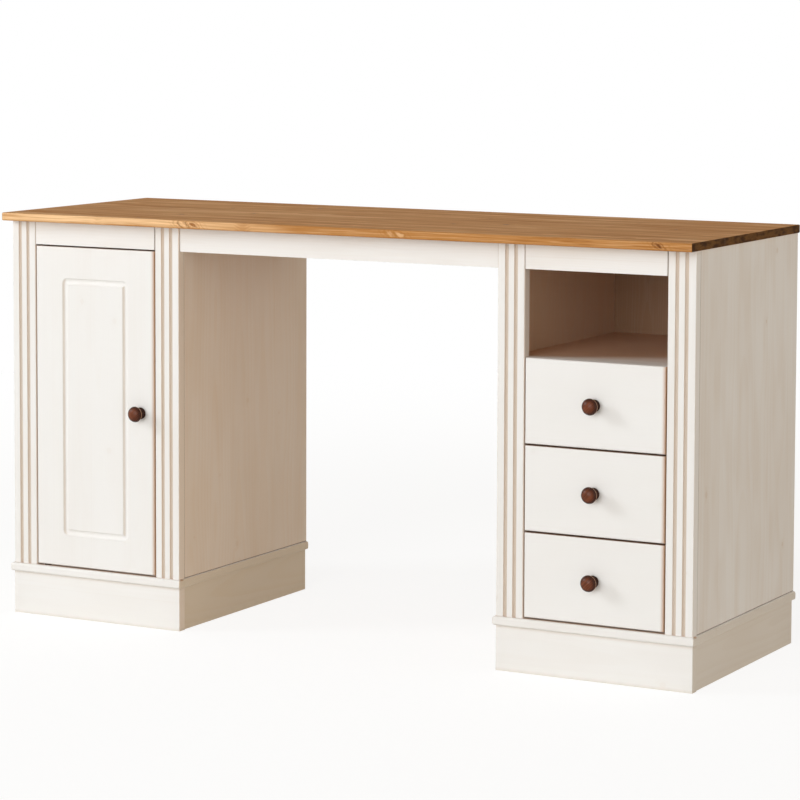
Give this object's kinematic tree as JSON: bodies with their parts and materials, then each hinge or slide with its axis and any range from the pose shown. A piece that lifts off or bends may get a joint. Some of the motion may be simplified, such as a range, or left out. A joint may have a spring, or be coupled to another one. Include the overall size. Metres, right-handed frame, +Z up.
{
  "type": "kneehole desk",
  "caption": "Kneehole desk of white-washed pine with a honey-coloured pine top, fluted pedestals, a panelled cupboard door, drawers and an open compartment.",
  "frame": {"origin": "on the floor, below the middle of the desk's bounding box", "axes": "+X to the right along the desk's length, +Y from the front to the back, +Z up"},
  "size_m": [1.401, 0.491, 0.762],
  "materials": {
    "white_pine": "white-washed, satin",
    "honey_pine": "honey-stained, oiled",
    "dark_knob_wood": "brown-stained, satin",
    "plain_pine": "bare, sanded",
    "beech": "bare, sanded",
    "steel": "zinc-plated",
    "brown_plastic": "moulded"
  },
  "bodies": {
    "frame": {"compartment_shelf": "white_pine", "cupboard_shelf": "white_pine", "desk_top": "honey_pine", "front_apron": "white_pine", "left_back_panel": "white_pine", "left_base_board": "white_pine", "left_drawer_runners": "beech", "left_head_rail": "white_pine", "left_inner_side": "white_pine", "left_inner_stile": "white_pine", "left_outer_side": "white_pine", "left_outer_stile": "white_pine", "left_plinth_front": "white_pine", "left_plinth_inner_side": "white_pine", "left_plinth_outer_side": "white_pine", "left_plinth_rear": "white_pine", "left_top_rails": "white_pine", "magnet_catch": "brown_plastic", "pivot_bushes": "brown_plastic", "rear_apron": "white_pine", "right_back_panel": "white_pine", "right_base_board": "white_pine", "right_drawer_runners": "beech", "right_head_rail": "white_pine", "right_inner_side": "white_pine", "right_inner_stile": "white_pine", "right_outer_side": "white_pine", "right_outer_stile": "white_pine", "right_plinth_front": "white_pine", "right_plinth_inner_side": "white_pine", "right_plinth_outer_side": "white_pine", "right_plinth_rear": "white_pine", "right_top_rails": "white_pine", "shelf_pins": "steel"},
    "door": {"catch_plate": "steel", "door_knob": "dark_knob_wood", "door_panel": "white_pine", "door_pivot_pins": "steel"},
    "bottom_drawer": {"bottom_drawer_back": "plain_pine", "bottom_drawer_bottom": "plain_pine", "bottom_drawer_front": "white_pine", "bottom_drawer_knob": "dark_knob_wood", "bottom_drawer_left_side": "plain_pine", "bottom_drawer_right_side": "plain_pine"},
    "middle_drawer": {"middle_drawer_back": "plain_pine", "middle_drawer_bottom": "plain_pine", "middle_drawer_front": "white_pine", "middle_drawer_knob": "dark_knob_wood", "middle_drawer_left_side": "plain_pine", "middle_drawer_right_side": "plain_pine"},
    "top_drawer": {"top_drawer_back": "plain_pine", "top_drawer_bottom": "plain_pine", "top_drawer_front": "white_pine", "top_drawer_knob": "dark_knob_wood", "top_drawer_left_side": "plain_pine", "top_drawer_right_side": "plain_pine"}
  },
  "joints": [
    {"name": "door_swing", "type": "hinge", "parent": "frame", "child": "door", "pos_m": [-0.6245, -0.2085, 0.3995], "axis": [0, 0, -1], "range_deg": [0, 105]},
    {"name": "bottom_drawer_slide", "type": "slide", "parent": "frame", "child": "bottom_drawer", "axis": [0, -1, 0], "range_m": [0, 0.3]},
    {"name": "middle_drawer_slide", "type": "slide", "parent": "frame", "child": "middle_drawer", "axis": [0, -1, 0], "range_m": [0, 0.3]},
    {"name": "top_drawer_slide", "type": "slide", "parent": "frame", "child": "top_drawer", "axis": [0, -1, 0], "range_m": [0, 0.3]}
  ]
}
